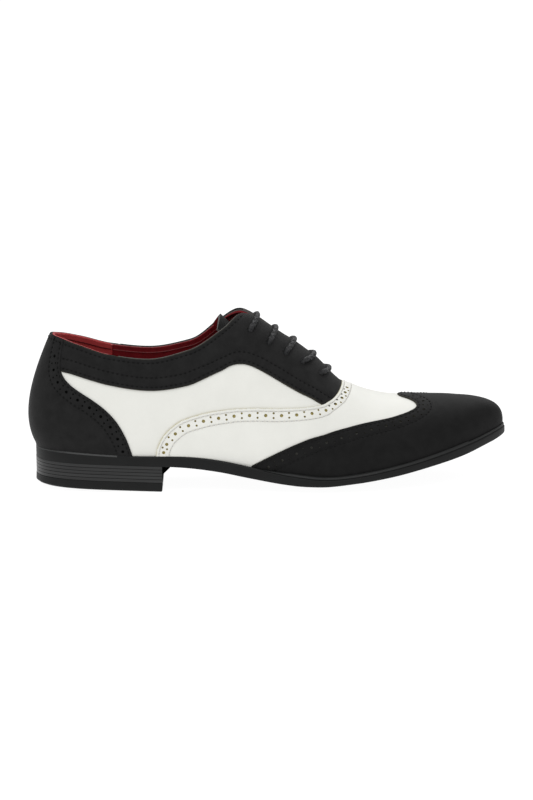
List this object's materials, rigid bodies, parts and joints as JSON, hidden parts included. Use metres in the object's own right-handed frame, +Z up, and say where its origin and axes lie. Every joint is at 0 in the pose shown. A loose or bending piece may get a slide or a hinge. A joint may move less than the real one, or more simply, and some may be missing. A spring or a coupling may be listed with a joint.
{
  "type": "lace-up shoe",
  "caption": "Two-tone wing-tip oxford for the right foot with a brogued leather upper, closed lacing, leather lining and a low stacked heel.",
  "frame": {"origin": "on the floor, under the middle of the shoe's bounding box", "axes": "+X towards the toe, +Y towards the inner (medial) side, +Z up"},
  "size_m": [0.3052, 0.1024, 0.1107],
  "materials": {
    "sole_rubber": "satin",
    "stacked_heel": "satin, thin layers",
    "white_leather": "matte",
    "black_leather": "matte",
    "red_lining_leather": "matte",
    "lace": "waxed cord"
  },
  "bodies": {
    "root": {"outsole": "sole_rubber", "top_lift": "sole_rubber", "heel_stack": "stacked_heel", "welt": "sole_rubber", "insole": "red_lining_leather", "upper": "white_leather", "vamp": "white_leather", "wing_cap": "black_leather", "heel_counter": "black_leather", "facing_lateral": "black_leather", "facing_medial": "black_leather", "tongue": "black_leather", "lace_bar_1": "lace", "lace_bar_2": "lace", "lace_bar_3": "lace", "lace_bar_4": "lace", "lace_bar_5": "lace"}
  },
  "joints": []
}
